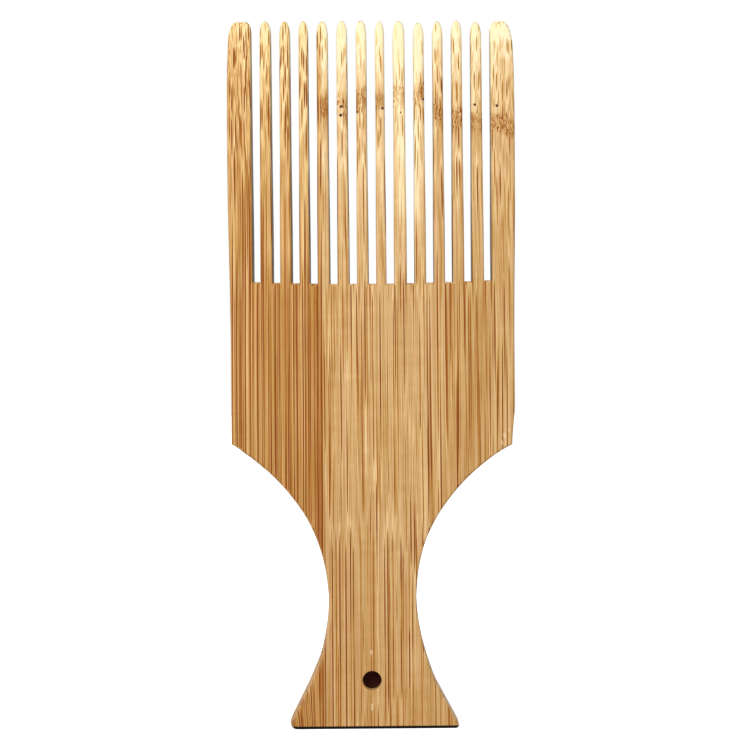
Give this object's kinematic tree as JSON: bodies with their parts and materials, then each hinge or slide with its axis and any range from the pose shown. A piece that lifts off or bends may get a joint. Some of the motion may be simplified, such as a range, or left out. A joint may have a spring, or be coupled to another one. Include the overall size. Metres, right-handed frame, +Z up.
{
  "type": "afro pick",
  "caption": "Flat bamboo hair pick with long parallel teeth, a waisted handle that flares to a straight foot, and a round hanging hole.",
  "frame": {"origin": "middle of the foot's underside: midway between the shoulders across, midway between the faces in depth", "axes": "+Z up from the foot to the tips of the teeth, -Y out of the front face, +X to the right seen from the front"},
  "size_m": [0.0732, 0.008, 0.18],
  "materials": {
    "bamboo_amber": "sanded and waxed, satin",
    "bamboo_pale": "sanded and waxed, satin",
    "bamboo_tan": "sanded and waxed, satin"
  },
  "bodies": {
    "root": {"front_left_strip": "bamboo_amber", "front_left_foot_corner": "bamboo_amber", "front_middle_strip": "bamboo_pale", "front_right_strip": "bamboo_tan", "front_right_foot_corner": "bamboo_tan", "back_left_strip": "bamboo_tan", "back_middle_strip": "bamboo_pale", "back_right_strip": "bamboo_amber", "back_edge_strip": "bamboo_pale"}
  },
  "joints": []
}
